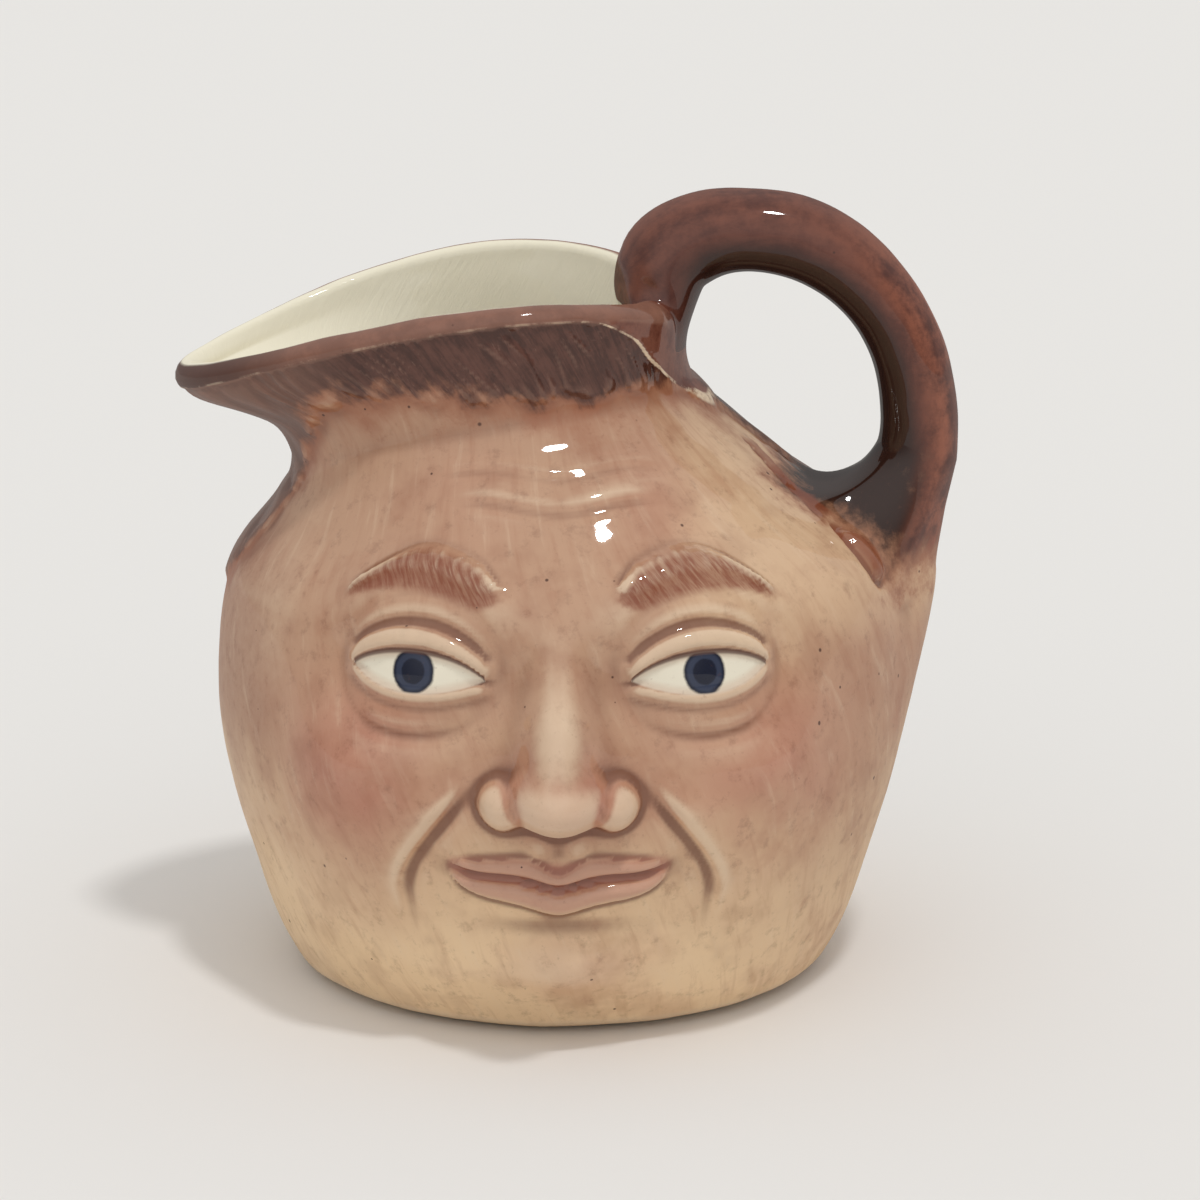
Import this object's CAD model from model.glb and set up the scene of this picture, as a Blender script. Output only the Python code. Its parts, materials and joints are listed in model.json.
import json
import math

import bpy
import numpy as np
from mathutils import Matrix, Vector


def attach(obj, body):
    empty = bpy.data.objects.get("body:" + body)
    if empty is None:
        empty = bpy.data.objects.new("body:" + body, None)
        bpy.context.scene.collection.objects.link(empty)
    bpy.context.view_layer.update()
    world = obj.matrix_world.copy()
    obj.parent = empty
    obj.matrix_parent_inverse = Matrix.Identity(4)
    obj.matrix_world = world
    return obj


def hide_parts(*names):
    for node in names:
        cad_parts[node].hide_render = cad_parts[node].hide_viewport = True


# A small glazed face jug: the fine surface and the finish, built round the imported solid.
# Lengths below are millimetres on the pot's own axis; the mesh is moved onto the solid and made metres at the end.

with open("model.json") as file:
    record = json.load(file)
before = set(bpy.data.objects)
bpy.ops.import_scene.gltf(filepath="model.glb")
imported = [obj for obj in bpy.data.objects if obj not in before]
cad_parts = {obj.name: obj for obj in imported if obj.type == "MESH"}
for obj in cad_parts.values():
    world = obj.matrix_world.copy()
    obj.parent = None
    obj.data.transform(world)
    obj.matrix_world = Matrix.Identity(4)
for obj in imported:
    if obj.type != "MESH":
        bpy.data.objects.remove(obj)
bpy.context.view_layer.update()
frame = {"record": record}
pi = math.pi


# small helpers

def smooth(x, low, high):
    f = np.clip((x - low) / (high - low), 0, 1)
    return f * f * (3 - 2 * f)


def gauss(x, width):
    return np.exp(-(x / width) ** 2)


def bump(du, width, dv, height):
    return np.exp(-(du / width) ** 2 - (dv / height) ** 2)


def mix(a, b, f):
    return a + (b - a) * f


def curveThrough(x, stops):
    # a smooth curve through the stops, level at both ends
    at, value = np.array(stops, float).T
    slope = np.zeros(len(at))
    slope[1:-1] = (value[2:] - value[:-2]) / (at[2:] - at[:-2])
    x = np.clip(x, at[0], at[-1])
    k = np.clip(np.searchsorted(at, x, side="right") - 1, 0, len(at) - 2)
    span = at[k + 1] - at[k]
    return hermite(value[k], slope[k] * span, value[k + 1], slope[k + 1] * span, (x - at[k]) / span)


def hermite(p0, m0, p1, m1, f):
    return (p0 * (2 * f ** 3 - 3 * f ** 2 + 1) + m0 * (f ** 3 - 2 * f ** 2 + f)
            + p1 * (3 * f ** 2 - 2 * f ** 3) + m1 * (f ** 3 - f ** 2))


def unit(v):
    return v / np.maximum(np.linalg.norm(v, axis=-1, keepdims=True), 1e-9)


# the pot's skin, lofted through closed rings

pot = {
    "rings": {  # left, right, deep, widest, pinch, zLeft, zSide, zRight
        "foot": (26.2, 26.2, 26.2, 0, 0, 0, 0, 0),
        "heel": (29.2, 29.2, 29.2, 0, 0, 1.6, 1.6, 1.6),
        "calf": (33, 33, 33, 0, 0, 11, 11, 11),
        "belly": (36.9, 37, 36.6, 0, 0, 28, 28, 28),
        "shoulder": (35.4, 35.2, 34.6, 0, 0, 43, 44, 45),
        "collar": (30.2, 24.1, 27, -2, 0, 50.6, 54, 54.1),
        "neck": (28.3, 14.2, 20.5, -7, 0.04, 55.2, 62, 62.8),
        "flare": (30.4, 12.9, 20.3, -7.8, 0.05, 59.1, 66.2, 65.9),
        "spout": (38.2, 13, 20.3, -8.6, 0.07, 61.7, 70.6, 69),
        "rim": (40.3, 13.4, 20.5, -9.2, 0.1, 63.4, 73.2, 70.6),
    },
    "rowsBetween": (6, 22, 44, 42, 30, 22, 8, 8, 5),
    "lipRows": 6,
    "columns": ((-0.87, 160), (0.87, 32), (1.3108, 19), (1.8308, 95)),  # turn each run starts at, and its count
    "wallBody": 3.4,
    "wallRim": 2.4,
    "wallUnderHandle": 8.4,
    "handleReach": 0.42,
    "floorThick": 3.4,
    "footLand": 3.5,
    "footRecess": 0.9,
}
rimAt = len(pot["rings"]) - 1


def ringPoints(name, theta):
    left, right, deep, widest, pinch, zLeft, zSide, zRight = pot["rings"][name]
    reach = (left + right) / 2
    skew = ((right - left) / 2 - widest) / 2
    lip = 1 - pinch * ((1 - np.cos(theta)) / 2) ** 4
    zSkew = ((zLeft + zRight) / 2 - zSide) / 2
    return np.stack([
        widest + skew + reach * np.cos(theta) + skew * np.cos(2 * theta),
        deep * np.sin(theta) * lip,
        zSide + zSkew + (zRight - zLeft) / 2 * np.cos(theta) + zSkew * np.cos(2 * theta),
    ], -1)


def skinRow(theta, t):
    names = list(pot["rings"])
    side = np.array([ringPoints(n, np.array([-pi / 2]))[0] for n in names])
    knots = np.concatenate([[0], np.cumsum(np.linalg.norm(np.diff(side, axis=0), axis=1))])
    k = min(int(max(t, 0)), rimAt - 1)

    def slope(i):
        a, b = max(i - 1, 0), min(i + 1, rimAt)
        return (ringPoints(names[b], theta) - ringPoints(names[a], theta)) / (knots[b] - knots[a])

    f = t - k
    span = knots[k + 1] - knots[k]
    return hermite(ringPoints(names[k], theta), slope(k) * span,
                   ringPoints(names[k + 1], theta), slope(k + 1) * span, f)


def skinFrame(theta, t):
    step = 0.01
    point = skinRow(theta, t)
    along = unit(skinRow(theta, min(t + step, rimAt)) - skinRow(theta, max(t - step, 0)))
    around = unit(skinRow(theta + step, t) - skinRow(theta - step, t))
    return point, along, unit(np.cross(around, along))


# carving of the face: thirds for the heights, five eyes for the widths

third = 19
chin = 7
noseBase = chin + third
brow = noseBase + third
eyeLine = brow - third / 4
mouthLine = noseBase - third / 3
face = {
    "radius": 36.6,  # of the cylinder that the face is laid out on
    "eyeOffset": 15.0,
    "eyeHalfWidth": 7.4,
    "eyeTilt": 0.3,
    "lidAbove": 2.45,
    "lidAboveLean": 0.12,
    "lidBelow": 1.75,
    "lidBelowLean": 0.15,
    "mouthHalfWidth": 11.5,
}


def over(a, b, soft):
    # the higher of two surfaces, meeting in a rounded crease
    return (a + b + np.sqrt((a - b) ** 2 + soft * soft) - soft * 0.5) / 2


def dome(du, width, dv, height, power=0.7):
    return np.maximum(0, 1 - (du / width) ** 2 - (dv / height) ** 2) ** power


def lipLine(u):
    return mouthLine - 0.5 * gauss(u, 2.0) + 0.3 * gauss(np.abs(u) - 4.5, 2.5) + 0.0075 * u * u


def eyeShape(a, v):
    # the almond between the lids: how far above and below it, and the place across it
    q = (a - face["eyeOffset"]) / face["eyeHalfWidth"]
    line = eyeLine + face["eyeTilt"] * q - 0.1
    across = np.maximum(0, 1 - q * q)
    top = line + face["lidAbove"] * across ** 0.75 * (1 - face["lidAboveLean"] * q)
    bottom = line - face["lidBelow"] * across ** 0.95 * (1 + face["lidBelowLean"] * q)
    return q, v - top, bottom - v


def eyeRelief(a, v):
    q, above, below = eyeShape(a, v)
    ball = 2.8 * dome(a - face["eyeOffset"], 9.6, v - eyeLine - 0.4, 6.6, 1.25)
    within = 1 - smooth(np.abs(q), 0.9, 1.25)
    upper = 0.8 * smooth(above, -0.25, 0.35) * (1 - smooth(above, 1.3, 2.7))
    lower = 0.5 * smooth(below, -0.25, 0.3) * (1 - smooth(below, 0.5, 1.9))
    crease = 0.55 * gauss(above - 2.2 + 0.3 * q * q, 0.65) * (1 - smooth(np.abs(q - 0.05), 0.85, 1.2))
    tear = 0.45 * bump(q + 1.0, 0.12, v - eyeLine + 0.4, 0.8)
    return ball + (upper + lower) * within - crease - tear


def browShape(a, v):
    # place along the brow from 0 at the nose to 1 at its tail, and the distance from its middle in half widths
    along = (a - 6.6) / 18.6
    on = np.clip(along, 0, 1)
    middle = brow + 3.0 + 2.3 * np.sin(pi * on ** 1.15) - 1.1 * on ** 2
    half = 1.75 * smooth(along, -0.06, 0.16) * (1 - 0.72 * smooth(along, 0.5, 1.04)) + 1e-3
    return along, (v - middle) / half


def browRelief(a, v):
    along, off = browShape(a, v)
    cover = (1 - smooth(np.abs(off), 0.2, 1.15)) * smooth(along, -0.06, 0.06) * (1 - smooth(along, 0.94, 1.04))
    slant = a * 0.9 + (v - brow - 3) * (0.7 - 1.5 * along)
    strand = np.sin(2 * pi * slant / 1.25 + 1.2 * np.sin(a * 1.7)) * (0.6 + 0.4 * np.sin(a * 2.3 + v))
    return cover * (0.65 + 0.09 * strand)


def noseRelief(u, a, v):
    h = v - noseBase
    top = curveThrough(h, [(-1.6, 0.2), (0.2, 3.2), (1.8, 5.4), (5.5, 5.5), (9.5, 4.6), (14, 3.0), (17.5, 1.9),
                           (24, 0.2)])
    half = curveThrough(h, [(-1, 3.6), (4, 3.9), (9, 3.5), (14, 3.1), (18, 3.8), (24, 7)])
    ridge = top * np.exp(-np.abs(u / half) ** 2.3)
    flank = 1.9 * np.exp(-(u / 8) ** 2) * smooth(h, -0.5, 2.5) * (1 - smooth(h, 8, 17))
    ball = 8.3 * dome(u, 5.5, h - 2.9, 4.4, 0.7)
    wing = 4.6 * dome(a - 5.1, 3.3, h - 1.9, 3.2, 0.66)
    nostril = 1.7 * bump(a - 3.1, 1.5, h + 0.9, 0.8)
    return over(over(ridge + flank, ball, 1.6), wing, 1.2) - nostril


def mouthRelief(u, v):
    q = np.minimum(1, np.abs(u) / face["mouthHalfWidth"])
    full = np.sqrt(1 - q * q)
    h = v - lipLine(u)
    bow = 2.3 * full ** 1.1 - 0.7 * gauss(u, 1.6) + 0.2 * gauss(np.abs(u) - 3, 1.5)
    swell = 3.1 * full ** 0.9
    up = h / np.maximum(bow, 0.2)
    down = -h / np.maximum(swell, 0.2)
    upper = 1.0 * np.sqrt(np.maximum(0, 1 - (2 * up - 0.75) ** 2 / 1.56))
    lower = 1.55 * np.sqrt(np.maximum(0, 1 - (2 * down - 0.8) ** 2 / 1.44))
    taper = smooth(full, 0.0, 0.75)
    slit = 1.1 * gauss(h, 0.5) * (1 - smooth(np.abs(u), 10, 12.6))
    corner = 0.8 * bump(np.abs(u) - 12.5, 1.5, h, 1.5)
    return np.maximum(upper * smooth(h, -0.1, 0.3), lower * smooth(-h, -0.1, 0.3)) * taper - slit - corner


def foldAt(v):
    # how far out the fold beside the mouth runs at each height
    return 8.6 + 8.0 * smooth(noseBase + 4 - v, -2, 13)


def faceRelief(u, v):
    a = np.sqrt(u * u + 1)
    fold = a - foldAt(v)
    foldReach = smooth(v, chin + 4, chin + 14) * (1 - smooth(v, noseBase, noseBase + 5))
    socket = np.exp(-(((a - face["eyeOffset"] + 0.4) / 10.4) ** 2 + ((v - eyeLine - 0.2) / 6.0) ** 2) ** 1.5)
    base = (
        1.7 * gauss(v - (brow + 0.6 + 1.6 * gauss(a - 15, 8)), 4) * smooth(a, 0.5, 8) * (1 - smooth(a, 20, 30))
        + 0.8 * bump(a - 9, 10, v - (brow + 11), 6)
        + 1.0 * bump(u, 5, v - (brow + 2), 5)
        - 1.8 * socket
        + 1.7 * bump(u, 12, v - (mouthLine + 0.5), 8)
        + 2.9 * bump(a - 20.5, 9, v - (noseBase + 3.5), 7.2)
        + 1.3 * bump(a - 24, 9, v - (mouthLine - 3), 8)
        - 0.9 * bump(u, 8, v - (chin + 7.4), 1.6)
        + 3.0 * bump(u, 8.4, v - (chin + 3), 4.2)
        + 1.0 * bump(a - 13, 7, v - (chin + 1.5), 4)
    )
    cheek = 1.0 * smooth(fold, -0.7, 1.1) * (1 - smooth(fold, 1.1, 9)) * foldReach
    groove = 0.45 * gauss(fold + 0.3, 1.1) * foldReach
    bagLine = eyeLine - 6.4 + 0.03 * (a - 15) ** 2
    bag = 0.18 * gauss(v - bagLine - 1.3, 1.2) * (1 - smooth(np.abs(a - 15), 4, 8)) \
        - 0.22 * gauss(v - bagLine, 0.8) * (1 - smooth(np.abs(a - 14.5), 4, 8))
    philtrum = (0.2 * gauss(a - 2.3, 1.0) - 0.35 * gauss(u, 1.1)) * smooth(v, mouthLine + 2.0, mouthLine + 3.2) \
        * (1 - smooth(v, noseBase - 1.4, noseBase - 0.2))
    lines = 0
    for at, reach in ((9.6, 17), (12.6, 21)):
        dip = v - (brow + at + 0.8 * gauss(a - 11, 7))
        lines = lines + (0.15 * gauss(dip - 1, 0.7) - 0.28 * gauss(dip, 0.6)) * (1 - smooth(a, reach - 7, reach))
    surface = base + cheek - groove + bag + philtrum + lines \
        + eyeRelief(a, v) + mouthRelief(u, v) + browRelief(a, v)
    return over(surface, noseRelief(u, a, v) + base * 0.6 - 0.6, 0.5)


# hair, the strap under the rim, and the small scroll at the handle's foot

hair = {"rise": 0.38, "lockWidth": 7, "lockDepth": 0.25, "strandWidth": 1.9, "strandDepth": 0.12}
hairEdgeLeft = [(0.7, 66), (1.0, 64.5), (1.3, 56), (1.42, 46), (1.9, 39), (2.5, 33), (pi, 31)]
hairEdgeRight = [(0.7, 66), (1.0, 65), (1.3, 63), (1.62, 60), (2.0, 46), (2.5, 35), (pi, 31)]
scroll = {"turn": 1.245, "z": 46.8, "halfWidth": 1.6, "halfHeight": 2.6}


def hairlineAt(turn):
    return np.where(turn < 0, curveThrough(-turn, hairEdgeLeft), curveThrough(turn, hairEdgeRight))


def hairRelief(turn, z, theta):
    across = theta * 27 + z * 0.7 + 1.3 * np.sin(z * 0.35) + 1.6 * np.sin(theta * 3.1)
    lock = np.abs(np.sin(pi * across / hair["lockWidth"]))
    sway = 0.8 * np.sin(z * 0.5 + theta * 5) + 0.7 * np.sin(theta * 11 + 1)
    strand = np.sin(2 * pi * (across + sway) / hair["strandWidth"]) * (0.6 + 0.4 * np.sin(theta * 17 - z * 0.6))
    edge = hairlineAt(turn) - 1.1 * lock
    cover = smooth(z, edge - 0.7, edge + 0.7)
    strand = strand * (1 - smooth(np.abs(turn), 1.2, 1.5))
    return cover * (hair["rise"] + hair["lockDepth"] * (lock ** 0.6 - 0.7) + hair["strandDepth"] * strand)


def strapEdge(theta):
    side = np.abs(np.arctan2(np.sin(theta), np.cos(theta)))
    return curveThrough(side, [(0.1, 5.8), (0.62, 7.3), (0.77, 7.9), (1.0, 8.72), (1.2, 8.8)])


def strapRelief(theta, t):
    off = t - strapEdge(theta)
    return 0.5 * smooth(off, -0.12, 0.08) + 0.25 * gauss(off - 0.08, 0.12)


def scrollPlace(turn, z):
    # across and up from the scroll's middle, and the distance in half widths
    dx = (turn - scroll["turn"]) * 31
    dz = z - scroll["z"]
    return dx, dz, np.sqrt((dx / scroll["halfWidth"]) ** 2 + (dz / scroll["halfHeight"]) ** 2)


def stemPlace(turn, z):
    # place up the stem above the scroll, and the distance from its middle
    along = (z - 51) / 6.7
    return along, (turn - mix(1.27, 1.4, np.clip(along, 0, 1))) * 27


def scrollRelief(turn, z):
    dx, dz, r = scrollPlace(turn, z)
    lobe = np.maximum(0, 1 - r * r) ** 0.6 - 0.45 * gauss(r - 1.15, 0.16) \
        - 0.3 * bump(dx - 0.4, 0.7, dz + 0.2, 1.2)
    along, off = stemPlace(turn, z)
    reach = smooth(along, -0.1, 0.15) * (1 - smooth(along, 0.9, 1.1))
    return lobe + (0.35 * gauss(off, 0.7) - 0.3 * gauss(np.abs(off) - 1.2, 0.4)) * reach


def tailRelief(x, y, z):
    # the handle's foot running down into the body
    height = 4.7 * np.clip((z - 20) / 23.5, 0, 1) ** 1.9 * (1 - smooth(z, 45, 51))
    return height * np.exp(-np.abs(y / mix(8.5, 5.6, smooth(z, 27, 43))) ** 2.4) * (x > 0)


def reliefAt(point, theta, t):
    turn = np.arctan2(point[..., 0], -point[..., 1])
    z = point[..., 2]
    onFront = 1 - smooth(np.abs(turn), 0.95, 1.35)
    onBody = smooth(t, 0.9, 1.4)
    openFace = 1 - smooth(z, 57, 62)
    carved = faceRelief(face["radius"] * turn, z) * onFront * openFace
    plain = 1 - smooth(t - strapEdge(theta), -0.15, 0.1)
    return (carved + hairRelief(turn, z, theta) * plain + strapRelief(theta, t) + scrollRelief(turn, z)
            + tailRelief(point[..., 0], point[..., 1], z)) * onBody


# rows of the hollow pot, from the middle of the underside to the middle of the floor inside

def columnAngles():
    starts, counts = zip(*pot["columns"])
    ends = starts[1:] + (starts[0] + 2 * pi,)
    runs = [np.linspace(low, high, count, endpoint=False) for low, high, count in zip(starts, ends, counts)]
    return np.concatenate(runs) - pi / 2


def wallAt(theta, t):
    body = mix(pot["wallBody"], pot["wallRim"], smooth(np.float64(t), rimAt - 4, rimAt))
    turn = np.arctan2(np.sin(theta), np.cos(theta))
    swell = gauss(turn, pot["handleReach"]) * smooth(np.float64(t), rimAt - 2.2, rimAt - 0.3)
    return mix(body, pot["wallUnderHandle"], swell)


def circleRow(theta, radius, z):
    return np.stack([radius * np.cos(theta), radius * np.sin(theta), np.full(theta.shape, z)], -1)


def potRows(theta):
    rows, kinds = [], []

    def add(points, kind):
        rows.append(points)
        kinds.append(kind)

    foot = pot["rings"]["foot"][0]
    inner = foot - pot["footLand"]
    recess = pot["footRecess"]
    for radius, z in ((5, recess), (11, recess), (17, recess), (inner - 2, recess), (inner - 1.2, recess * 0.8),
                      (inner - 0.5, recess * 0.2), (inner, 0), (inner + pot["footLand"] / 2, 0)):
        add(circleRow(theta, radius, z), ("under", 0))
    steps = []
    for k, count in enumerate(pot["rowsBetween"]):
        steps += list(np.linspace(k, k + 1, count, endpoint=False))
    for t in steps + [rimAt]:
        point, along, normal = skinFrame(theta, t)
        add(point + normal * reliefAt(point, theta, t)[:, None], ("skin", t))
    point, along, normal = skinFrame(theta, rimAt)
    half = wallAt(theta, rimAt)[:, None] / 2
    bead = reliefAt(point, theta, rimAt)[:, None]
    for i in range(1, pot["lipRows"] + 1):
        turn = pi * i / (pot["lipRows"] + 1)
        outer = bead * (1 - turn / pi)
        add(point + normal * (-half + (half + outer) * math.cos(turn))
            + along * np.minimum(half, pot["wallRim"]) * math.sin(turn), ("lip", turn))
    inside = list(np.linspace(rimAt, rimAt - 1, 6)) + list(np.linspace(rimAt - 1.2, 6, 8, endpoint=False)) \
        + list(np.linspace(6, 1.3, 24))
    for t in inside:
        point, along, normal = skinFrame(theta, t)
        add(point - normal * wallAt(theta, t)[:, None], ("inside", t))
    floorTop = recess + pot["floorThick"]
    floorRing = foot - pot["wallBody"]
    for radius, z in ((floorRing + 1.6, floorTop + 0.35), (floorRing, floorTop), (18, floorTop), (13, floorTop),
                      (8, floorTop), (4, floorTop)):
        add(circleRow(theta, radius, z), ("floor", 0))
    return rows, kinds


# the handle

handle = {
    "stops": [  # x, z, thickness in the handle's plane, width across
        (9.9, 72.4, 8.6, 13.5), (11.4, 76.4, 10.1, 11.6), (15.2, 78.7, 9.7, 10.8), (19.6, 79.3, 9.1, 10.6),
        (24.7, 78.6, 9, 10.4), (29.4, 76.2, 8.6, 10.2), (33.4, 72.4, 8.2, 10), (36.3, 67.4, 8.2, 9.8),
        (37.8, 61.5, 8.4, 9.8), (37.9, 56, 8.8, 10.2), (36.3, 50.4, 11, 12.4), (35, 44, 11, 15)],
    "from": 0.7,
    "to": 9.1,
    "rings": 76,
    "loopMiddle": (22.5, 62.5),  # x and z of the finger's gap, and the radius that the washes are laid out on
    "loopRadius": 18.0,
    "root": {"t": 7.3, "rows": 20, "columns": (184, 214), "rings": 12, "outerIsLow": False},
    "tail": {"t": 3.82, "rows": 31, "columns": (192, 211), "rings": 16, "outerIsLow": True},
}


def handleSection(s, angles):
    # one ring of the handle at place s along its stops, and the way it runs there
    stops = np.array(handle["stops"], float)
    stops = np.vstack([2 * stops[0] - stops[1], stops, 2 * stops[-1] - stops[-2]])
    i = min(int(s), len(stops) - 4)
    p = stops[i:i + 4]
    d = [np.linalg.norm(p[j + 1][:2] - p[j][:2]) ** 0.5 for j in range(3)]
    m1 = ((p[1] - p[0]) / d[0] - (p[2] - p[0]) / (d[0] + d[1]) + (p[2] - p[1]) / d[1]) * d[1]
    m2 = ((p[2] - p[1]) / d[1] - (p[3] - p[1]) / (d[1] + d[2]) + (p[3] - p[2]) / d[2]) * d[1]
    x, z, thick, wide = hermite(p[1], m1, p[2], m2, s - i)
    x2, z2 = hermite(p[1], m1, p[2], m2, s - i + 0.01)[:2]
    tangent = unit(np.array([x2 - x, 0, z2 - z]))
    outward = np.array([-tangent[2], 0, tangent[0]])  # away from the finger's gap
    return (np.array([x, 0, z]) + outward * (thick / 2 * np.cos(angles))[:, None]
            + np.array([0, 1, 0]) * (wide / 2 * np.sin(angles))[:, None]), tangent


def patchLoop(patch, rowLow, theta):
    # grid places round the patch that an end of the handle stands on: angle round the handle, place, place outside
    columns = len(theta)
    rowHigh = rowLow + patch["rows"]
    colLow, colHigh = patch["columns"]
    loop = []
    for r in range(rowLow, rowHigh + 1):
        for c in range(colLow, colHigh + 1):
            dr = (r == rowHigh) - (r == rowLow)
            dc = (c == colHigh) - (c == colLow)
            if dr or dc:
                low = 1 - 2 * (r - rowLow) / patch["rows"]
                side = theta[c] / theta[colHigh]
                angle = math.atan2(side, low if patch["outerIsLow"] else -low) % (2 * pi)
                loop.append((angle, r * columns + c, (r + dr) * columns + c + dc))
    inside = {(r, c) for r in range(rowLow, rowHigh) for c in range(colLow, colHigh)}
    return sorted(loop), inside


def rootRings(patch, loop, points, s, way):
    # rings from the handle's own section (left out) to the pot's skin (left out), and the section's even angles
    angle = np.array([entry[0] for entry in loop])
    edge = points[[entry[1] for entry in loop]]
    away = unit(points[[entry[2] for entry in loop]] - edge)
    even = 2 * pi * np.arange(len(loop)) / len(loop)
    even += np.mean(angle - even)
    known = np.append(angle, angle[0] + 2 * pi)

    def around(values, at):
        at = np.mod(at - angle[0], 2 * pi) + angle[0]
        return np.stack([np.interp(at, known, np.append(values[:, k], values[0, k])) for k in range(3)], -1)

    rings = []
    for i in range(1, patch["rings"]):
        f = i / patch["rings"]
        at = mix(even, angle, smooth(f, 0, 0.85))
        start, tangent = handleSection(s, at)
        end, out = around(edge, at), unit(around(away, at))
        far = np.linalg.norm(end - start, axis=1, keepdims=True)
        rings.append(hermite(start, tangent * way * far, end, out * far * 0.7, f))
    return rings, even


print("jug: helpers ready")


def buildJug():
    # one closed surface: the pot's rows, and the handle's rings between two openings left in them
    theta = columnAngles()
    rows, kinds = potRows(theta)
    columns = len(theta)
    faces, loops, holes = [], [], set()
    skinRows = [(place, i) for i, (kind, place) in enumerate(kinds) if kind == "skin"]
    for patch in (handle["root"], handle["tail"]):
        rowLow = min(skinRows, key=lambda entry: abs(entry[0] - patch["t"]))[1]
        loop, inside = patchLoop(patch, rowLow, theta)
        loops.append(loop)
        holes |= inside
    for r in range(len(rows) - 1):
        for c in range(columns):
            if (r, c) not in holes:
                d = (c + 1) % columns
                faces.append((r * columns + c, r * columns + d, (r + 1) * columns + d, (r + 1) * columns + c))

    parts = [np.concatenate(rows)]
    top, evenTop = rootRings(handle["root"], loops[0], parts[0], handle["from"], -1)
    foot, evenFoot = rootRings(handle["tail"], loops[1], parts[0], handle["to"], 1)
    shares = np.linspace(0, 1, handle["rings"] + 1)
    middle = [handleSection(mix(handle["from"], handle["to"], f), mix(evenTop, evenFoot, f))[0] for f in shares]
    rings = top[::-1] + middle + foot
    count = len(evenTop)
    first = len(parts[0])
    ids = [np.array([entry[1] for entry in loops[0]])]
    ids += [first + count * i + np.arange(count) for i in range(len(rings))]
    ids.append(np.array([entry[1] for entry in loops[1]]))
    for last, ring in zip(ids, ids[1:]):
        faces += [(last[j - 1], ring[j - 1], ring[j], last[j]) for j in range(count)]

    floorTop = pot["footRecess"] + pot["floorThick"]
    centre = first + count * len(rings)
    points = np.concatenate(parts + rings + [np.array([[0, 0, pot["footRecess"]], [0, 0, floorTop]])])
    lastRow = (len(rows) - 1) * columns
    for c in range(columns):
        d = (c + 1) % columns
        faces += [(centre, d, c), (centre + 1, lastRow + c, lastRow + d)]

    firm = 1 - 0.95 * gauss(np.angle(np.exp(1j * evenFoot)), 0.5)  # the tail's outer side keeps its line
    bend = 0.5 - 0.5 * np.cos(evenTop)
    loose = np.zeros(len(points))
    nearTail = (0.7 - 0.7 * smooth(nearness(points[:first], points[ids[-1]]), 0.4, 2.0)) \
        * smooth(np.abs(points[:first, 1]), 2.0, 6.0)
    loose[:first] = np.maximum(1 - smooth(nearness(points[:first], points[ids[0]]), 0.6, 4.0), nearTail)
    for i in range(len(top) + 1):
        loose[ids[i]] = np.maximum(1 - smooth(i / len(top), 0.4, 1), bend)
    for i in range(14):
        loose[ids[len(top) + 1 + i]] = bend * (1 - smooth(i, 4, 14))
    for i in range(len(foot) + 1):
        loose[ids[-1 - i]] = firm

    kindOf = np.array([name for name, place in kinds])
    place = np.array([place for name, place in kinds], float)
    tags = {
        "kind": np.concatenate([np.repeat(kindOf, columns), np.repeat("handle", len(points) - first)]),
        "t": np.concatenate([np.repeat(place, columns), np.full(len(points) - first, float(rimAt))]),
        "theta": np.concatenate([np.tile(theta, len(rows)), np.zeros(len(points) - first)]),
    }
    tags["kind"][centre:] = ("under", "floor")
    pairs = np.array(sorted({(min(a, b), max(a, b)) for f in faces for a, b in zip(f, f[1:] + f[:1])}))
    return relax(points, pairs, loose, 40), faces, pairs, tags


def nearness(points, loop):
    # how far each point lies from the nearest of the loop's
    near = np.full(len(points), 99.0)
    close = np.linalg.norm(points - loop.mean(0), axis=1) < 18
    near[close] = np.min(np.linalg.norm(points[close][:, None] - loop[None], axis=2), axis=1)
    return near


def neighbourMean(values, pairs):
    count = np.bincount(pairs.ravel(), minlength=len(values))
    total = np.zeros(values.shape)
    for k in range(values.shape[1]):
        total[:, k] = np.bincount(pairs[:, 0], values[pairs[:, 1], k], len(values)) \
            + np.bincount(pairs[:, 1], values[pairs[:, 0], k], len(values))
    return total / np.maximum(count, 1)[:, None]


def relax(points, pairs, loose, rounds):
    # eases the joints of the handle into even fillets
    for i in range(rounds):
        points = points + (neighbourMean(points, pairs) - points) * loose[:, None] * 0.5
    return points


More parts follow.
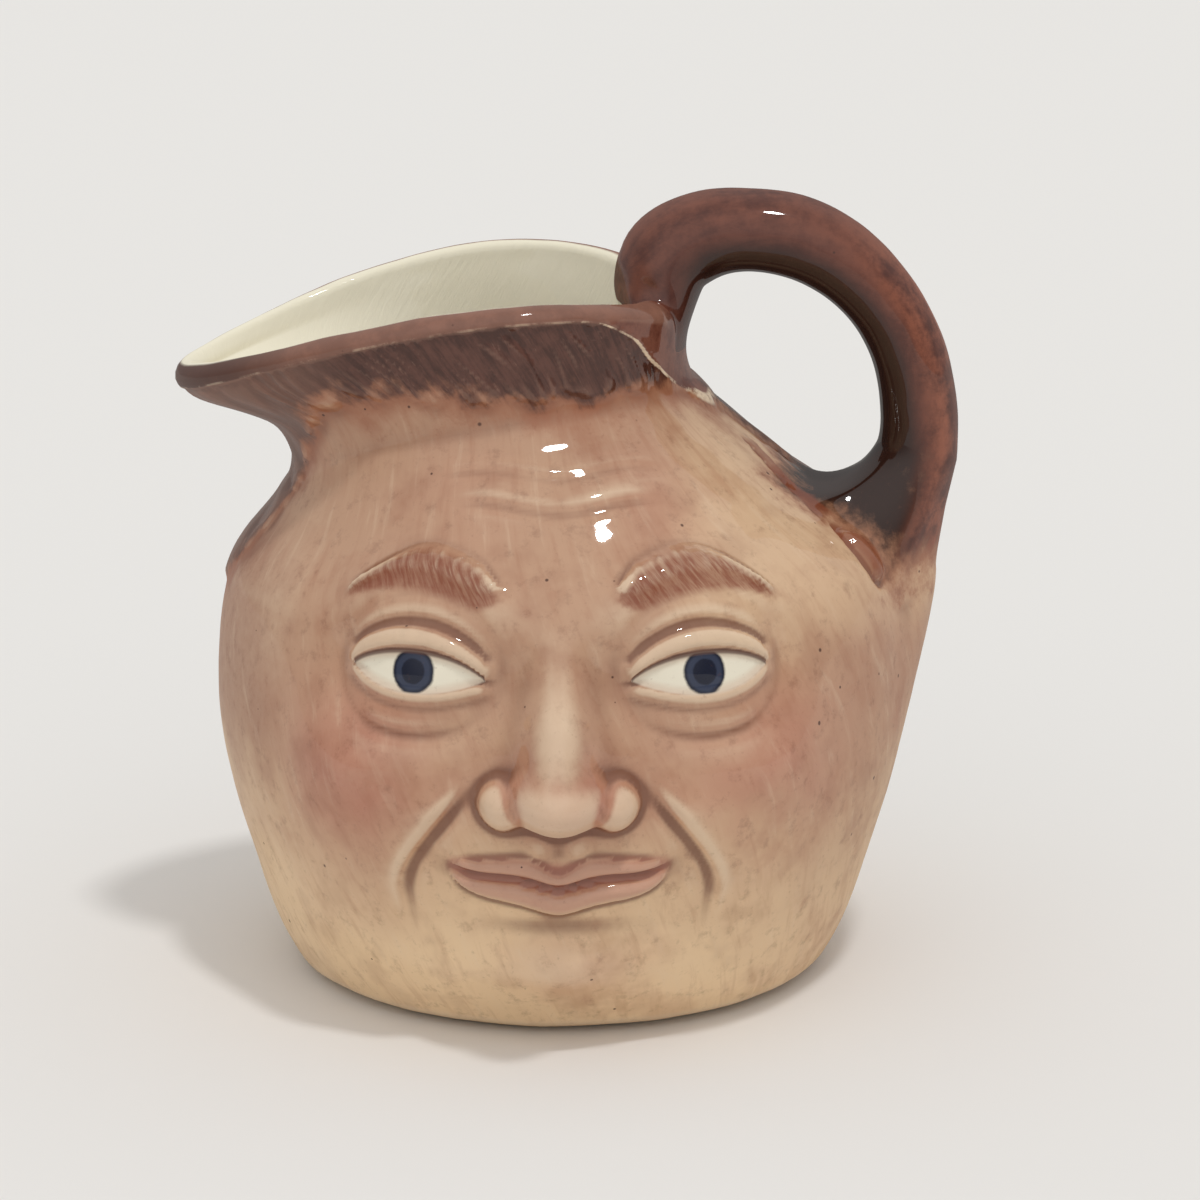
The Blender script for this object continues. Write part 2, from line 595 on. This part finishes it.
def faceMask(points, theta, t):
    # where the painter's brush goes on the skin: the values are 0 to 1, or millimetres inside an edge
    x, y, z = points.T
    turn = np.arctan2(x, -y)
    u = face["radius"] * turn
    a = np.abs(u)
    along, off = browShape(a, z)
    brows = (1 - smooth(np.abs(off), 0.7, 1.35)) * smooth(along, -0.08, 0.08) * (1 - smooth(along, 0.92, 1.06))
    full = np.sqrt(np.maximum(0, 1 - (u / (face["mouthHalfWidth"] + 0.5)) ** 2))
    h = z - lipLine(u)
    lips = smooth(full, 0.05, 0.5) * (1 - smooth(h - 2.4 * full, -0.6, 0.4)) \
        * (1 - smooth(-h - 3.2 * full, -0.7, 0.5))
    blush = 0.8 * bump(a - 21, 10.5, z - (noseBase + 3.5), 8.5) + 0.9 * bump(u, 6, z - (noseBase + 3), 5) \
        + 0.5 * bump(u, 8, z - (chin + 3), 4) + 0.3 * bump(a - 16, 9, z - (brow + 10), 5)
    r = scrollPlace(turn, z)[2]
    along, off = stemPlace(turn, z)
    stem = (1 - smooth(np.abs(off), 0.9, 1.8)) * smooth(along, -0.12, 0.05) * (1 - smooth(along, 0.9, 1.15))
    return {
        "brow": brows,
        "lips": lips,
        "blush": np.clip(blush, 0, 1),
        "scroll": np.maximum(1 - smooth(r, 0.85, 1.35), 0.9 * stem),
        "hair": z - hairlineAt(turn),
        "strap": (t - strapEdge(theta)) * 3.5,
    }


handlePaint = {"low": 43.5, "high": 54.5, "root": 58, "halfWidth": 9.4}  # edges of the handle's own colour


def measure(points, pairs, tags):
    # hollows and ridges at two sizes, and the painter's zones
    normal = vertexNormals(points, tags["faces"])
    spread = points
    form = {}
    for name, rounds in (("fine", 5), ("broad", 40)):
        for i in range(rounds):
            spread = neighbourMean(spread, pairs)
        form[name] = ((points - spread) * normal).sum(1)
    kind, t = tags["kind"], tags["t"]
    masks = faceMask(points, tags["theta"], np.where(kind == "skin", t, rimAt))
    for name in ("brow", "lips", "blush", "scroll"):
        masks[name][kind != "skin"] = 0
    masks["hair"][np.isin(kind, ["inside", "lip", "floor"])] = 6
    masks["strap"][(kind == "handle") & (points[:, 2] < handlePaint["root"])] = -6
    masks["strap"][kind == "lip"] = 5
    masks["strap"][np.isin(kind, ["inside", "floor"])] = 6
    masks["strap"][kind == "under"] = -6
    masks["hair"][kind == "under"] = -20
    x, y, z = points.T
    masks["inner"] = np.full(len(points), -6.0)
    lip = kind == "lip"
    masks["inner"][lip] = (t[lip] - 1.75) * 1.3 - 2.5 * gauss(np.angle(np.exp(1j * tags["theta"][lip])), 0.55)
    masks["inner"][np.isin(kind, ["inside", "floor"])] = 3
    onTail = np.minimum(z - handlePaint["low"], (handlePaint["halfWidth"] - np.abs(y)) * 1.2)
    masks["handle"] = np.where((x > 0) & (kind == "skin"), np.minimum(onTail, (handlePaint["high"] - z) * 2), -8)
    masks["handle"][kind == "handle"] = np.maximum(onTail, (z - handlePaint["root"]) * 2)[kind == "handle"]
    masks["under"] = np.where(kind == "under", 1.0, 0.0)
    return form, masks


def vertexNormals(points, faces):
    normal = np.zeros(points.shape)
    quads = np.array([f for f in faces if len(f) == 4])
    across = np.cross(points[quads[:, 2]] - points[quads[:, 0]], points[quads[:, 3]] - points[quads[:, 1]])
    for k in range(4):
        for axisAt in range(3):
            normal[:, axisAt] += np.bincount(quads[:, k], across[:, axisAt], len(points))
    return unit(normal)


points, faces, pairs, tags = buildJug()
tags["faces"] = faces
form, masks = measure(points, pairs, tags)
print("jug: surface and masks ready,", len(points), "points")

foot = frame["record"]["mounts"][0]["pos_m"]
axis = np.array([foot[0] - 0.0244, foot[1], 0])
used = np.zeros(len(points), bool)
used[np.concatenate([np.array(f) for f in faces])] = True
place = np.cumsum(used) - 1
mesh = bpy.data.meshes.new("faceJug")
mesh.from_pydata((points[used] / 1000 + axis).tolist(), [], [[int(place[v]) for v in f] for f in faces])


def addVectors(name, values):
    layer = mesh.attributes.new(name, "FLOAT_VECTOR", "POINT")
    layer.data.foreach_set("vector", np.stack(values, -1)[used].astype(np.float32).ravel())


addVectors("form", (form["fine"], form["broad"], masks["blush"]))
addVectors("zones", (masks["hair"], masks["strap"], masks["handle"]))
addVectors("touches", (masks["brow"], masks["lips"], masks["scroll"]))
addVectors("places", (masks["inner"], masks["under"], masks["under"]))  # the last is what the ripple leaves still


# a slow ripple of the clay, so that no surface is truer than a cast and fettled one

clay = {"wavesPerMetre": 90.0, "height": 0.0005, "middle": 0.75, "seed": 4.0}


def rippleTree(material):
    tree = bpy.data.node_groups.new("clayRipple", "GeometryNodeTree")
    tree.interface.new_socket("Geometry", in_out="INPUT", socket_type="NodeSocketGeometry")
    size = tree.interface.new_socket("Waves per metre", in_out="INPUT", socket_type="NodeSocketFloat")
    amount = tree.interface.new_socket("Height", in_out="INPUT", socket_type="NodeSocketFloat")
    seed = tree.interface.new_socket("Seed", in_out="INPUT", socket_type="NodeSocketFloat")
    tree.interface.new_socket("Geometry", in_out="OUTPUT", socket_type="NodeSocketGeometry")
    nodes = tree.nodes
    start, end = nodes.new("NodeGroupInput"), nodes.new("NodeGroupOutput")
    position = nodes.new("GeometryNodeInputPosition").outputs[0]
    normal = nodes.new("GeometryNodeInputNormal").outputs[0]
    waves = put(tree, "TexNoise", {"Vector": position, "Scale": start.outputs["Waves per metre"],
                                   "W": start.outputs["Seed"], "Detail": 2}, noise_dimensions="4D").outputs[0]
    height = maths(tree, "MULTIPLY", maths(tree, "SUBTRACT", waves, clay["middle"]), start.outputs["Height"])
    push = put(tree, "VectorMath", {0: normal, "Scale": height}, operation="SCALE").outputs[0]
    places = nodes.new("GeometryNodeInputNamedAttribute")
    places.data_type = "FLOAT_VECTOR"
    places.inputs["Name"].default_value = "places"
    under = put(tree, "SeparateXYZ", {0: places.outputs["Attribute"]}).outputs[2]
    move = nodes.new("GeometryNodeSetPosition")
    realise = nodes.new("GeometryNodeRealizeInstances")
    coat = nodes.new("GeometryNodeSetMaterial")
    feed(tree, move, {"Geometry": start.outputs["Geometry"], "Selection": maths(tree, "LESS_THAN", under, 0.02),
                      "Offset": push})
    feed(tree, realise, {0: move.outputs[0]})
    feed(tree, coat, {"Geometry": realise.outputs[0], "Material": material})
    feed(tree, end, {0: coat.outputs[0]})
    return tree, {size.identifier: clay["wavesPerMetre"], amount.identifier: clay["height"],
                  seed.identifier: clay["seed"]}


# shader building blocks

def srgb(red, green, blue):
    shares = (red / 255, green / 255, blue / 255)
    return tuple(c / 12.92 if c <= 0.04045 else ((c + 0.055) / 1.055) ** 2.4 for c in shares) + (1,)


def feed(tree, node, inputs):
    for key, value in inputs.items():
        if isinstance(value, bpy.types.NodeSocket):
            tree.links.new(value, node.inputs[key])
        else:
            node.inputs[key].default_value = value


def put(tree, kind, inputs, **settings):
    node = tree.nodes.new("ShaderNode" + kind)
    for name, value in settings.items():
        setattr(node, name, value)
    feed(tree, node, inputs)
    return node


def maths(tree, operation, *values):
    return put(tree, "Math", dict(enumerate(values)), operation=operation).outputs[0]


def between(tree, value, low, high, start=0.0, end=1.0):
    # eases from start to end while the value goes from low to high
    return put(tree, "MapRange", {"Value": value, "From Min": low, "From Max": high, "To Min": start, "To Max": end},
               interpolation_type="SMOOTHSTEP").outputs[0]


def blend(tree, share, under, on):
    return put(tree, "Mix", {0: share, 6: under, 7: on}, data_type="RGBA").outputs[2]


def noise(tree, place, scale, detail=3.0, rough=0.55, warp=0.0):
    return put(tree, "TexNoise", {"Vector": place, "Scale": scale, "Detail": detail, "Roughness": rough,
                                  "Distortion": warp}).outputs[0]


def newGroup(name, inputs, outputs):
    tree = bpy.data.node_groups.new(name, "ShaderNodeTree")
    for label, kind in inputs:
        tree.interface.new_socket(label, in_out="INPUT", socket_type="NodeSocket" + kind)
    for label, kind in outputs:
        tree.interface.new_socket(label, in_out="OUTPUT", socket_type="NodeSocket" + kind)
    return tree, tree.nodes.new("NodeGroupInput").outputs, tree.nodes.new("NodeGroupOutput").inputs


def useGroup(tree, group, inputs):
    node = tree.nodes.new("ShaderNodeGroup")
    node.node_tree = group
    feed(tree, node, inputs)
    return node.outputs


def potMap():
    # millimetres round the pot from the middle of the face, up it, and along and across the handle's loop
    tree, out = newGroup("potMap", [], [("Round", "Float"), ("Side", "Float"), ("Up", "Float"),
                                        ("Loop", "Vector"), ("Outward", "Float")])[::2]
    place = put(tree, "TexCoord", {}).outputs["Object"]
    here = put(tree, "VectorMath", {0: place, 1: tuple(axis)}, operation="SUBTRACT").outputs[0]
    inMillimetres = put(tree, "VectorMath", {0: here, "Scale": 1000.0}, operation="SCALE").outputs[0]
    x, y, z = put(tree, "SeparateXYZ", {0: inMillimetres}).outputs
    turn = maths(tree, "ARCTAN2", x, maths(tree, "MULTIPLY", y, -1.0))
    tree.links.new(maths(tree, "MULTIPLY", turn, face["radius"]), out["Round"])
    tree.links.new(x, out["Side"])
    tree.links.new(z, out["Up"])
    dx = maths(tree, "SUBTRACT", x, handle["loopMiddle"][0])
    dz = maths(tree, "SUBTRACT", z, handle["loopMiddle"][1])
    squares = maths(tree, "ADD", maths(tree, "MULTIPLY", dx, dx), maths(tree, "MULTIPLY", dz, dz))
    reach = maths(tree, "SQRT", squares)
    along = maths(tree, "MULTIPLY", maths(tree, "ARCTAN2", dz, dx), handle["loopRadius"])
    tree.links.new(put(tree, "CombineXYZ", {0: along, 1: reach, 2: y}).outputs[0], out["Loop"])
    ray = put(tree, "CombineXYZ", {0: dx, 2: dz}).outputs[0]
    ray = put(tree, "VectorMath", {0: ray}, operation="NORMALIZE").outputs[0]
    normal = put(tree, "NewGeometry", {}).outputs["Normal"]
    facing = put(tree, "VectorMath", {0: normal, 1: ray}, operation="DOT_PRODUCT")
    tree.links.new(facing.outputs["Value"], out["Outward"])
    return tree


def brushMarks(placing):
    # soft strokes, longer than they are wide, that lean by the slant given and join up round the back
    tree, into, out = newGroup("brushMarks", [("Slant", "Float"), ("Width", "Float"), ("Length", "Float")],
                               [("Value", "Float")])
    here = useGroup(tree, placing, {})
    across = maths(tree, "ADD", here["Round"], maths(tree, "MULTIPLY", here["Up"], into["Slant"]))
    turn = maths(tree, "DIVIDE", across, face["radius"])
    reach = maths(tree, "DIVIDE", face["radius"], into["Width"])
    lengthen = maths(tree, "ADD", maths(tree, "MULTIPLY", into["Slant"], into["Slant"]), 1.0)
    along = maths(tree, "DIVIDE", maths(tree, "MULTIPLY", here["Up"], lengthen), into["Length"])
    place = put(tree, "CombineXYZ", {0: maths(tree, "MULTIPLY", maths(tree, "COSINE", turn), reach),
                                     1: maths(tree, "MULTIPLY", maths(tree, "SINE", turn), reach),
                                     2: along}).outputs[0]
    tree.links.new(noise(tree, place, 1.0, 4.0, 0.6, 0.4), out["Value"])
    return tree


def glazeSpecks():
    # small dark iron spots scattered under the glaze
    tree, into, out = newGroup("glazeSpecks", [("Spacing mm", "Float"), ("Share", "Float")], [("Mask", "Float")])
    place = put(tree, "TexCoord", {}).outputs["Object"]
    cells = put(tree, "TexVoronoi", {"Vector": place, "Scale": maths(tree, "DIVIDE", 1000.0, into["Spacing mm"])})
    pick = put(tree, "SeparateColor", {0: cells.outputs["Color"]}).outputs
    size = maths(tree, "ADD", maths(tree, "MULTIPLY", pick[1], 0.08), 0.03)
    reach = maths(tree, "DIVIDE", cells.outputs["Distance"], size)
    near = maths(tree, "SUBTRACT", 1.0, between(tree, reach, 0.7, 1.3))
    tree.links.new(maths(tree, "MULTIPLY", near, maths(tree, "LESS_THAN", pick[0], into["Share"])), out["Mask"])
    return tree


def eyeOpening():
    # millimetres inside the almond between the lids, and above its upper edge
    tree, into, out = newGroup("eyeOpening", [("Round", "Float"), ("Up", "Float")],
                               [("Inside", "Float"), ("Above", "Float")])

    def add(*values):
        return maths(tree, "ADD", *values)

    def less(*values):
        return maths(tree, "SUBTRACT", *values)

    def times(*values):
        return maths(tree, "MULTIPLY", *values)

    q = less(maths(tree, "ABSOLUTE", into["Round"]), face["eyeOffset"])
    q = maths(tree, "DIVIDE", q, face["eyeHalfWidth"])
    across = maths(tree, "MAXIMUM", less(1.0, times(q, q)), 0.0)
    line = add(times(q, face["eyeTilt"]), eyeLine - 0.1)
    lidAbove = less(face["lidAbove"], times(q, face["lidAbove"] * face["lidAboveLean"]))
    above = less(into["Up"], add(line, times(maths(tree, "POWER", across, 0.75), lidAbove)))
    lidBelow = add(times(q, face["lidBelow"] * face["lidBelowLean"]), face["lidBelow"])
    below = less(line, add(into["Up"], times(maths(tree, "POWER", across, 0.95), lidBelow)))
    nearest = times(maths(tree, "MAXIMUM", above, below), -1.0)
    beside = times(maths(tree, "LESS_THAN", across, 0.001), 9.0)
    tree.links.new(less(nearest, beside), out["Inside"])
    farAway = times(maths(tree, "LESS_THAN", across, 0.02), 200.0)
    tree.links.new(add(above, farAway), out["Above"])
    return tree


paint = {
    "beige": srgb(236, 205, 165),
    "tan": srgb(190, 151, 123),
    "rose": srgb(184, 120, 99),
    "wiped": srgb(230, 206, 177),
    "umber": srgb(112, 68, 50),
    "russet": srgb(132, 70, 47),
    "lip": srgb(176, 110, 93),
    "eyeWhite": srgb(238, 230, 210),
    "cream": srgb(236, 229, 207),
    "creamShade": srgb(208, 197, 163),
    "navy": srgb(17, 22, 42),
    "slate": srgb(58, 66, 88),
    "lash": srgb(88, 52, 40),
    "hairDark": srgb(70, 40, 31),
    "hairMid": srgb(96, 60, 49),
    "hairLight": srgb(156, 118, 100),
    "fringe": srgb(158, 100, 72),
    "strap": srgb(98, 54, 42),
    "strapPale": srgb(126, 78, 62),
    "handle": srgb(80, 42, 33),
    "handleMid": srgb(100, 57, 45),
    "rust": srgb(148, 88, 66),
    "handleDark": srgb(44, 27, 21),
    "bareClay": srgb(222, 210, 190),
    "speck": srgb(70, 40, 30),
}

gloss = {"Roughness": 0.5, "Specular IOR Level": 0.0, "Coat Roughness": 0.04, "Coat IOR": 1.65}


def glazeMaterial():
    material = bpy.data.materials.new("paintedGlaze")
    material.use_nodes = True
    tree = material.node_tree
    shader = tree.nodes["Principled BSDF"]
    placing = potMap()
    here = useGroup(tree, placing, {})
    marks, specks = brushMarks(placing), glazeSpecks()
    spot = put(tree, "TexCoord", {}).outputs["Object"]

    def read(name):
        source = put(tree, "Attribute", {}, attribute_name=name).outputs["Vector"]
        return put(tree, "SeparateXYZ", {0: source}).outputs

    def add(*values):
        return maths(tree, "ADD", *values)

    def less(*values):
        return maths(tree, "SUBTRACT", *values)

    def times(*values):
        return maths(tree, "MULTIPLY", *values)

    def ease(*values):
        return between(tree, *values)

    def lay(share, under, on):
        return blend(tree, share, under, on)

    def brushed(slant, width, length):
        return useGroup(tree, marks, {"Slant": slant, "Width": width, "Length": length})["Value"]

    fine, broad, blush = read("form")
    hairIn, strapIn, handleIn = read("zones")
    brow, lips, scrollMask = read("touches")
    innerIn, under = read("places")[:2]
    up, around, aside = here["Up"], here["Round"], here["Side"]
    cloud = noise(tree, spot, 60.0, 3.0)
    wander = noise(tree, spot, 170.0, 3.0)
    sponge = noise(tree, spot, 520.0, 4.0, 0.7)
    grain = noise(tree, spot, 1500.0, 3.0, 0.7)
    strokes = brushed(0.4, 1.7, 8.0)

    # flesh: beige at the foot, warmer above, with blushes, a darker wash at the sides and brush marks
    rise = ease(add(up, times(cloud, 26.0)), 18.0, 50.0)
    skin = lay(rise, paint["beige"], paint["tan"])
    skin = lay(ease(aside, 18.0, 34.0, 0.0, 0.2), skin, paint["fringe"])
    skin = lay(times(blush, ease(cloud, 0.25, 0.7, 0.35, 1.1)), skin, paint["rose"])
    wash = times(ease(aside, -27.0, -33.5, 0.0, 0.7), ease(add(up, times(cloud, 16.0)), 27.0, 44.0))
    skin = lay(wash, skin, paint["fringe"])
    skin = lay(times(wash, 0.35), skin, paint["umber"])
    pale = times(ease(aside, 8.0, 18.0, 0.0, 0.45), ease(add(up, times(cloud, 12.0)), 42.0, 52.0))
    skin = lay(pale, skin, paint["beige"])
    skin = lay(ease(strokes, 0.5, 0.72, 0.0, 0.22), skin, paint["fringe"])
    skin = lay(ease(strokes, 0.46, 0.25, 0.0, 0.2), skin, paint["wiped"])
    skin = lay(ease(wander, 0.48, 0.7, 0.0, 0.2), skin, paint["russet"])
    skin = lay(ease(noise(tree, spot, 110.0, 4.0, 0.65), 0.5, 0.68, 0.0, 0.25), skin, paint["fringe"])
    skin = lay(ease(sponge, 0.52, 0.75, 0.0, 0.3), skin, paint["umber"])
    # the wash lies in the hollows and is wiped off the ridges
    hollow = ease(add(fine, times(sponge, 0.05)), 0.02, -0.14, 0.0, 0.75)
    deep = times(ease(add(broad, times(wander, 0.3)), 0.1, -1.1, 0.0, 0.25), ease(up, 52.0, 46.0, 0.25, 1.0))
    ridge = ease(less(fine, times(sponge, 0.05)), -0.01, 0.12, 0.0, 0.62)
    ridge = times(ridge, ease(aside, 23.0, 31.0, 1.0, 0.1))
    skin = lay(deep, skin, paint["russet"])
    skin = lay(ridge, skin, paint["wiped"])
    skin = lay(hollow, skin, paint["umber"])
    # brows, lips and eyes
    browMarks = brushed(0.7, 0.5, 3.0)
    skin = lay(times(brow, ease(browMarks, 0.35, 0.65, 0.92, 0.55)), skin, paint["russet"])
    skin = lay(times(lips, 0.6), skin, paint["lip"])
    opening = useGroup(tree, eyeOpening(), {"Round": around, "Up": up})
    inside = opening["Inside"]
    white = lay(ease(inside, 1.1, 0.1, 0.0, 0.45), paint["eyeWhite"], paint["tan"])
    skin = lay(ease(inside, -0.15, 0.15), skin, white)
    side = less(maths(tree, "ABSOLUTE", around), face["eyeOffset"])
    high = less(up, eyeLine + 0.35)
    radius = add(maths(tree, "SQRT", add(times(side, side), times(high, high))), times(sponge, 0.4))
    seen = ease(inside, -0.05, 0.2)
    skin = lay(times(ease(radius, 2.6, 2.25), seen), skin, paint["navy"])
    iris = times(ease(radius, 2.3, 1.9), ease(radius, 1.35, 1.6))
    skin = lay(times(iris, times(seen, 0.7)), skin, paint["slate"])
    skin = lay(ease(maths(tree, "ABSOLUTE", opening["Above"]), 0.42, 0.12, 0.0, 0.8), skin, paint["lash"])

    # hair: dark strokes with lighter ones wiped through them, and a ragged warm edge
    hairStrokes = brushed(1.0, 1.0, 6.0)
    wiped = brushed(1.0, 1.4, 5.0)
    hair = lay(ease(add(hairStrokes, times(sponge, 0.6)), 0.6, 1.0), paint["hairDark"], paint["hairMid"])
    hair = lay(ease(add(wiped, times(sponge, 0.4)), 0.84, 1.0, 0.0, 0.5), hair, paint["hairLight"])
    hair = lay(ease(fine, 0.02, 0.12, 0.0, 0.25), hair, paint["hairLight"])
    hair = lay(ease(aside, -20.0, -29.0, 0.0, 0.3), hair, paint["hairLight"])
    edge = add(hairIn, add(times(less(wander, 0.5), 9.0), times(less(add(wiped, sponge), 1.0), 3.0)))
    skin = lay(ease(edge, -6.0, 0.0, 0.0, 0.8), skin, paint["fringe"])
    body = lay(ease(edge, -1.2, 1.2), skin, hair)

    # strap under the rim, with a pale line wiped along its lower edge
    strap = lay(ease(add(wander, sponge), 0.8, 1.2), paint["strap"], paint["strapPale"])
    strap = lay(ease(fine, 0.05, 0.2, 0.0, 0.4), strap, paint["hairLight"])
    strap = lay(ease(aside, -25.0, -36.0, 0.0, 0.85), strap, paint["hairDark"])
    body = lay(ease(strapIn, -0.15, 0.15), body, strap)
    off = less(strapIn, 0.1)
    line = times(ease(times(off, off), 0.07, 0.01), ease(add(wander, times(sponge, 0.7)), 0.75, 0.95))
    line = times(line, times(ease(aside, 0.0, 4.0, 0.3, 1.0), ease(aside, 19.0, 15.0)))
    body = lay(line, body, paint["wiped"])

    # handle: dark brown washes pulled along it, rust along its back, near black inside the loop
    loop = put(tree, "VectorMath", {0: here["Loop"], 1: (0.12, 0.55, 0.55)}, operation="MULTIPLY").outputs[0]
    pulls = noise(tree, loop, 1.0, 4.0, 0.6, 0.6)
    patches = noise(tree, loop, 0.5, 3.0, 0.5)
    facing = less(here["Outward"], ease(up, 60.0, 50.0, 0.0, 0.45))
    grip = lay(ease(add(pulls, times(sponge, 0.6)), 0.55, 1.0), paint["handle"], paint["handleMid"])
    rusty = times(ease(here["Outward"], -0.2, 0.7), ease(add(patches, times(sponge, 0.7)), 0.62, 1.02))
    back = put(tree, "SeparateXYZ", {0: here["Loop"]}).outputs[0]
    grip = lay(times(rusty, ease(back, 26.0, 6.0, 0.3, 0.95)), grip, paint["rust"])
    inLoop = times(ease(facing, 0.1, -0.55, 0.0, 0.95), ease(aside, 11.0, 16.0, 0.2, 1.0))
    grip = lay(inLoop, grip, paint["handleDark"])
    fade = add(less(handleIn, 1.5), add(times(less(wander, 0.5), 9.0), times(less(sponge, 0.5), 8.0)))
    body = lay(ease(fade, -6.0, -0.5, 0.0, 0.75), body, paint["fringe"])
    body = lay(ease(fade, -3.0, 3.0), body, grip)

    body = lay(times(scrollMask, 0.85), body, paint["russet"])
    body = lay(ease(grain, 0.6, 0.8, 0.0, 0.25), body, paint["umber"])
    spots = useGroup(tree, specks, {"Spacing mm": 2.3, "Share": 0.22})["Mask"]
    body = lay(times(spots, 0.85), body, paint["speck"])

    # cream inside, and the bare ring that the jug stands on
    pool = ease(add(broad, times(cloud, 0.2)), 0.1, -0.9)
    cream = lay(pool, paint["cream"], paint["creamShade"])
    body = lay(ease(add(innerIn, times(wander, 0.5)), 0.0, 0.5), body, cream)
    body = lay(under, body, lay(ease(sponge, 0.3, 0.7), paint["bareClay"], paint["cream"]))
    tree.links.new(body, shader.inputs["Base Color"])

    hairBump = times(hairStrokes, ease(hairIn, -0.5, 2.0))
    height = add(times(hairBump, 0.5), times(wander, 0.35))
    bump = put(tree, "Bump", {"Strength": 0.6, "Distance": 0.00025, "Height": height})
    tree.links.new(bump.outputs[0], shader.inputs["Normal"])
    tilt = put(tree, "LayerWeight", {"Blend": 0.5}).outputs["Facing"]
    tree.links.new(ease(tilt, 0.35, 1.0, 0.6, 0.22), shader.inputs["Coat Weight"])
    feed(tree, shader, gloss)
    return material


glaze = glazeMaterial()
jug = bpy.data.objects.new("faceJug", mesh)
bpy.context.scene.collection.objects.link(jug)
tree, values = rippleTree(glaze)
ripple = jug.modifiers.new("clayRipple", "NODES")
ripple.node_group = tree
for name, value in values.items():
    ripple[name] = value
bpy.context.view_layer.update()
finished = bpy.data.meshes.new_from_object(jug.evaluated_get(bpy.context.evaluated_depsgraph_get()))
jug.modifiers.remove(ripple)
jug.data = finished
finished.name = "faceJug"
finished.polygons.foreach_set("use_smooth", [True] * len(finished.polygons))
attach(jug, "root")
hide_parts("jug")
print("jug: glazed,", sum(len(p.vertices) - 2 for p in finished.polygons), "triangles")


# pale floor, soft light and the camera

stage = {
    "floor": srgb(231, 229, 226),
    "target": (4.16, 0, 39.0),
    "distance": 490,
    "down": 15,
    "pixelsPerMillimetre": 9.32,
    "roomFront": (0.31, 0.31, 0.31, 1),
    "roomBack": (0.57, 0.57, 0.565, 1),
    "roomAbove": (0.76, 0.76, 0.755, 1),
    "roomKey": (0.95, 0.95, 0.94, 1),
    "keyFrom": (-0.1, -0.8, 0.59),
    "lights": {  # direction it shines from, width in degrees, strength, colour
        "ceilingLight": ((0.18, -0.27, 0.95), 5.5, 0.86, (1, 1, 1)),
    },
}


def buildStage():
    floorMesh = bpy.data.meshes.new("floor")
    floorMesh.from_pydata([(-3, -3, 0), (3, -3, 0), (3, 3, 0), (-3, 3, 0)], [], [(0, 1, 2, 3)])
    floor = bpy.data.objects.new("floor", floorMesh)
    bpy.context.scene.collection.objects.link(floor)
    paper = bpy.data.materials.new("paleFloor")
    paper.use_nodes = True
    shader = paper.node_tree.nodes["Principled BSDF"]
    shader.inputs["Base Color"].default_value = stage["floor"]
    shader.inputs["Roughness"].default_value = 0.9
    shader.inputs["Specular IOR Level"].default_value = 0.1
    floorMesh.materials.append(paper)
    for name, (place, width, strength, tint) in stage["lights"].items():
        data = bpy.data.lights.new(name, "SUN")
        data.angle = math.radians(width)
        data.energy = strength
        data.color = tint
        lamp = bpy.data.objects.new(name, data)
        bpy.context.scene.collection.objects.link(lamp)
        lamp.location = place
        lamp.rotation_euler = (-Vector(place)).to_track_quat("-Z", "Y").to_euler()
    world = bpy.data.worlds.new("room")
    world.use_nodes = True
    tree = world.node_tree
    way = put(tree, "TexCoord", {}).outputs["Generated"]
    towards = put(tree, "SeparateXYZ", {0: way}).outputs
    wall = blend(tree, between(tree, towards[1], -0.8, 0.5), stage["roomFront"], stage["roomBack"])
    room = blend(tree, between(tree, towards[2], 0.1, 0.9), wall, stage["roomAbove"])
    glow = put(tree, "VectorMath", {0: way, 1: stage["keyFrom"]}, operation="DOT_PRODUCT").outputs["Value"]
    room = blend(tree, between(tree, glow, 0.5, 1.0), room, stage["roomKey"])
    tree.links.new(room, tree.nodes["Background"].inputs["Color"])
    bpy.context.scene.world = world
    bpy.context.scene.view_settings.view_transform = "Standard"

    data = bpy.data.cameras.new("camera")
    camera = bpy.data.objects.new("camera", data)
    bpy.context.scene.collection.objects.link(camera)
    down = math.radians(stage["down"])
    x, y, z = stage["target"]
    reach = stage["distance"]
    camera.location = (axis[0] + x / 1000, axis[1] + (y - reach * math.cos(down)) / 1000,
                       (z + reach * math.sin(down)) / 1000)
    camera.rotation_euler = (pi / 2 - down, 0, 0)
    data.sensor_width = 36
    data.lens = 36 * stage["pixelsPerMillimetre"] * reach / 1200
    bpy.context.scene.camera = camera


buildStage()
print("stage: ready")
